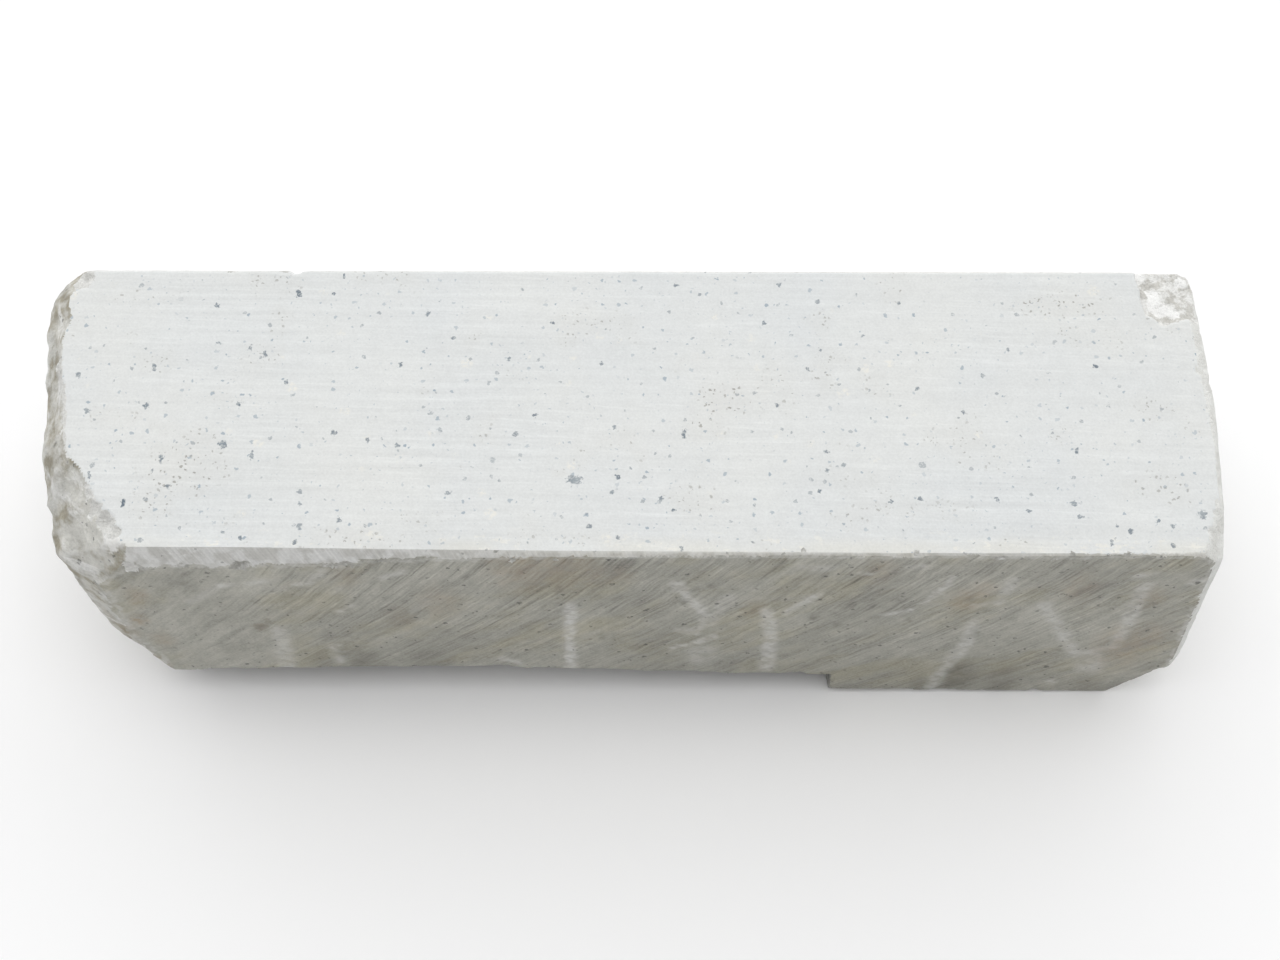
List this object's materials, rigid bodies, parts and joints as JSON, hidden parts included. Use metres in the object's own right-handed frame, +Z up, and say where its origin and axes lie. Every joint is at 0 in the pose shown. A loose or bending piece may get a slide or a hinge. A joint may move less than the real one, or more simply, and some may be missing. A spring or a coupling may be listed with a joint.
{
  "type": "sharpening whetstone",
  "caption": "Natural whetstone: long block of pale speckled stone with a flat lapped honing face, saw-marked sides, a roughly broken end and a flaked lower front edge.",
  "frame": {"origin": "centre of the footprint's bounding box, on the flat underside that the stone stands on", "axes": "+X along the stone towards its sawn end, +Y towards its back, +Z up, out of the lapped honing face"},
  "size_m": [0.206, 0.0576, 0.057],
  "materials": {
    "stone": "fine-grained speckled natural stone, pale and lapped on top, weathered grey-brown and saw-marked on the sides"
  },
  "bodies": {
    "root": {"stone_block": "stone"}
  },
  "joints": []
}
